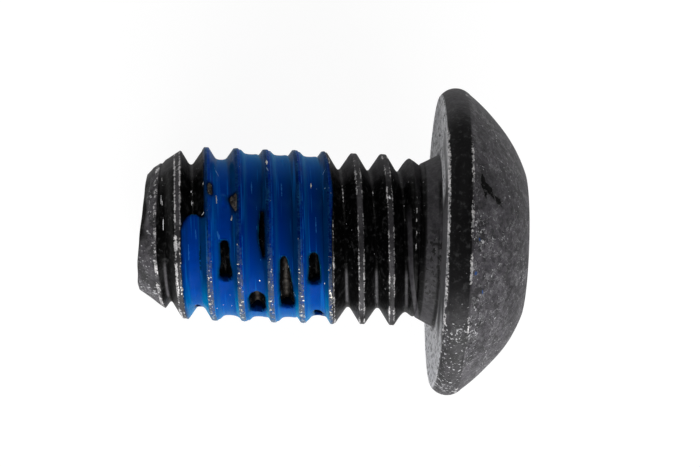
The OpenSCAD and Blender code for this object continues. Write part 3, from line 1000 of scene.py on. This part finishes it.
def blue_nylon():
    """Fused blue nylon: deep and glossy where it is thick, dark where it thins, scuffed on crests."""
    material, tree, place = new_material("blue_nylon")
    film, scuff, offset, inside = mesh_values(tree, "film", "scuff", "offset", "inside")
    broad = noise(tree, place, 2.2, 3, 0.6, seed=3.0)
    grit = noise(tree, place, 12.0, 3, 0.7, seed=7.0)
    lines = flow_lines(tree, place, offset)
    colour = nylon_body(tree, place, film, offset, inside, broad, lines)
    # Chalky scuffs on the crests, stronger and greyer toward the lower side in painted light, and bare
    # steel where they are worn through
    uneven = plus(tree, grit, times(tree, minus(tree, broad, 0.5), 0.6))
    uneven = plus(tree, uneven, ramp(tree, scuff, 0.5, 1, 0, 0.1))
    scuffed = larger(tree, scuff, strokes(tree, place, NYLON_RUBS, nylon_r))
    rubbed = times(tree, scuffed, ramp(tree, uneven, 0.42, 0.62))
    chalk = blend_colour(tree, ramp(tree, scuff, 0.4, 1), BLUE_CHALK, GREY_CHALK)
    colour = blend_colour(tree, times(tree, rubbed, 0.85), colour, chalk)
    worn_at = ramp(tree, scuff, 0, 1, 0.8, 0.575)
    bare = minus(tree, noise(tree, place, 9.0, 3, 0.65, seed=1.0), worn_at)
    bare = ramp(tree, bare, 0.0, 0.05)
    # Streaks, small dark pits, scratches and glints
    streaks = ragged_strokes(tree, place, NYLON_STREAKS, nylon_r)
    colour = blend_colour(tree, times(tree, streaks, 0.42), colour, STREAK_BLUE)
    spots = add(tree, "ShaderNodeTexVoronoi", {"Vector": place, "Scale": 3.2}).outputs["Distance"]
    pits = ramp(tree, spots, 0.075, 0.05)
    colour = blend_colour(tree, times(tree, pits, 0.8), colour, PIT_BLUE)
    scratches = ragged_strokes(tree, place, NYLON_SCRATCHES, nylon_r)
    colour = blend_colour(tree, times(tree, scratches, 0.5), colour, SCRATCH_BLUE)
    metal = larger(tree, bare, ragged_strokes(tree, place, NYLON_GLINTS, nylon_r))
    colour = blend_colour(tree, metal, colour, BARE_STEEL)
    rough = times(tree, times(tree, grit, scuff), 0.8)
    height = plus(tree, ramp(tree, lines, 0.6, 0.75, 0, 0.5), rough)
    bump = add(tree, "ShaderNodeBump", {"Strength": 0.6, "Distance": 0.02 * MM, "Height": height})
    sheen = times(tree, inside, ramp(tree, film, 0.03, 0.12, 0.15, 0.75))
    sheen = times(tree, sheen, ramp(tree, rubbed, 0, 1, 1, 0.35))
    shader = add(tree, "ShaderNodeBsdfPrincipled", {
        "Base Color": colour,
        "Metallic": times(tree, metal, 0.6),
        "Roughness": ramp(tree, larger(tree, rubbed, metal), 0, 1, 0.24, 0.42),
        "IOR": 1.1,
        "Specular Tint": (0.05, 0.42, 0.85, 1),
        "Sheen Weight": sheen,
        "Sheen Roughness": 0.5,
        "Sheen Tint": (0.0, 0.5, 0.8, 1),
        "Normal": bump.outputs[0],
    })
    finish_material(tree, shader)
    return material


def mix_shaders(tree, share, a, b):
    """The first shader where the share is 0, the second where it is 1."""
    return add(tree, "ShaderNodeMixShader", {0: share, 1: a.outputs[0], 2: b.outputs[0]})


def pale_floor():
    """White for the camera, with part of its own shading kept so that a shadow shows."""
    material, tree, _ = new_material("pale_floor")
    rays = add(tree, "ShaderNodeLightPath").outputs
    seen = maths(tree, "ADD", rays["Is Camera Ray"], rays["Is Transmission Ray"], clamp=True)
    matt = add(tree, "ShaderNodeBsdfDiffuse", {"Color": (0.85, 0.85, 0.85, 1)})
    white = add(tree, "ShaderNodeEmission", {"Color": (1, 1, 1, 1), "Strength": 1.1})
    finish_material(tree, mix_shaders(tree, times(tree, seen, 0.8), matt, white))
    return material


# Stage

def make_floor():
    """A square of table, 0.8 m a side."""
    mesh = bpy.data.meshes.new("floor")
    half = 0.4
    corners = [(-half, -half, 0), (half, -half, 0), (half, half, 0), (-half, half, 0)]
    mesh.from_pydata(corners, [], [(0, 1, 2, 3)])
    mesh.materials.append(pale_floor())
    floor = bpy.data.objects.new("floor", mesh)
    bpy.context.collection.objects.link(floor)


def soft_light(name, place, target, width, height, power):
    """A rectangular lamp, aimed at a point."""
    light = bpy.data.lights.new(name, "AREA")
    light.shape = "RECTANGLE"
    light.size, light.size_y = width, height
    light.energy = power
    lamp = bpy.data.objects.new(name, light)
    lamp.location = place
    lamp.rotation_euler = (Vector(target) - Vector(place)).to_track_quat("-Z", "Y").to_euler()
    bpy.context.collection.objects.link(lamp)


def make_lights():
    """A white surround that hardly shows in reflections, a low soft lamp and a narrow strip."""
    world = bpy.data.worlds.new("studio")
    world.use_nodes = True
    tree = world.node_tree
    tree.nodes.clear()
    rays = add(tree, "ShaderNodeLightPath").outputs
    soft, dark, white = (
        add(tree, "ShaderNodeBackground", {"Color": (1, 1, 1, 1), "Strength": strength})
        for strength in (0.35, 0.02, 1.0))
    mixed = mix_shaders(tree, rays["Is Glossy Ray"], soft, dark)
    mixed = mix_shaders(tree, rays["Is Camera Ray"], mixed, white)
    out = add(tree, "ShaderNodeOutputWorld")
    tree.links.new(mixed.outputs[0], out.inputs["Surface"])
    bpy.context.scene.world = world
    middle = (0, 0, 0.004)
    soft_light("low_side", (0, -0.14, 0.05), middle, 0.30, 0.09, 0.5)
    soft_light("strip", (-0.02, 0.118, 0.108), middle, 0.2, 0.01, 0.075)


def make_camera():
    """The photograph's camera: the tip lands on its pixel, and the axis slopes and turns as measured."""
    yaw, slope = math.radians(YAW), math.radians(AXIS_SLOPE)
    # The screw's own axes as the photograph shows them: X right, Y up, Z toward the camera
    along = Vector((math.cos(yaw) * math.cos(slope), -math.cos(yaw) * math.sin(slope), -math.sin(yaw)))
    side = Vector((math.sin(slope), math.cos(slope), 0))
    down = side.cross(along)
    photo_from_screw = Matrix((down, side, along)).transposed()
    turn = LIE.to_3x3().normalized() @ photo_from_screw.transposed()
    tip_x, tip_y = TIP_PIXEL[0] - PHOTO_W / 2, PHOTO_H / 2 - TIP_PIXEL[1]
    tip = Vector((tip_x / PIXELS_PER_MM, tip_y / PIXELS_PER_MM, 0))
    eye = Vector((0, 0, CAMERA_DISTANCE)) - tip
    data = bpy.data.cameras.new("camera")
    data.sensor_width = 36.0
    data.lens = PIXELS_PER_MM * CAMERA_DISTANCE * data.sensor_width / PHOTO_W
    data.clip_start, data.clip_end = 0.01, 10
    camera = bpy.data.objects.new("camera", data)
    camera.matrix_world = Matrix.Translation(LIE.translation + turn @ eye * MM) @ turn.to_4x4()
    bpy.context.collection.objects.link(camera)
    bpy.context.scene.camera = camera


screw = make_screw(black_oxide_steel())
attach(screw, "root")
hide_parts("screw")
patch = make_patch(blue_nylon())
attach(patch, "root")
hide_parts("locking_patch")

make_floor()
make_lights()
make_camera()
bpy.context.scene.view_settings.view_transform = "Standard"
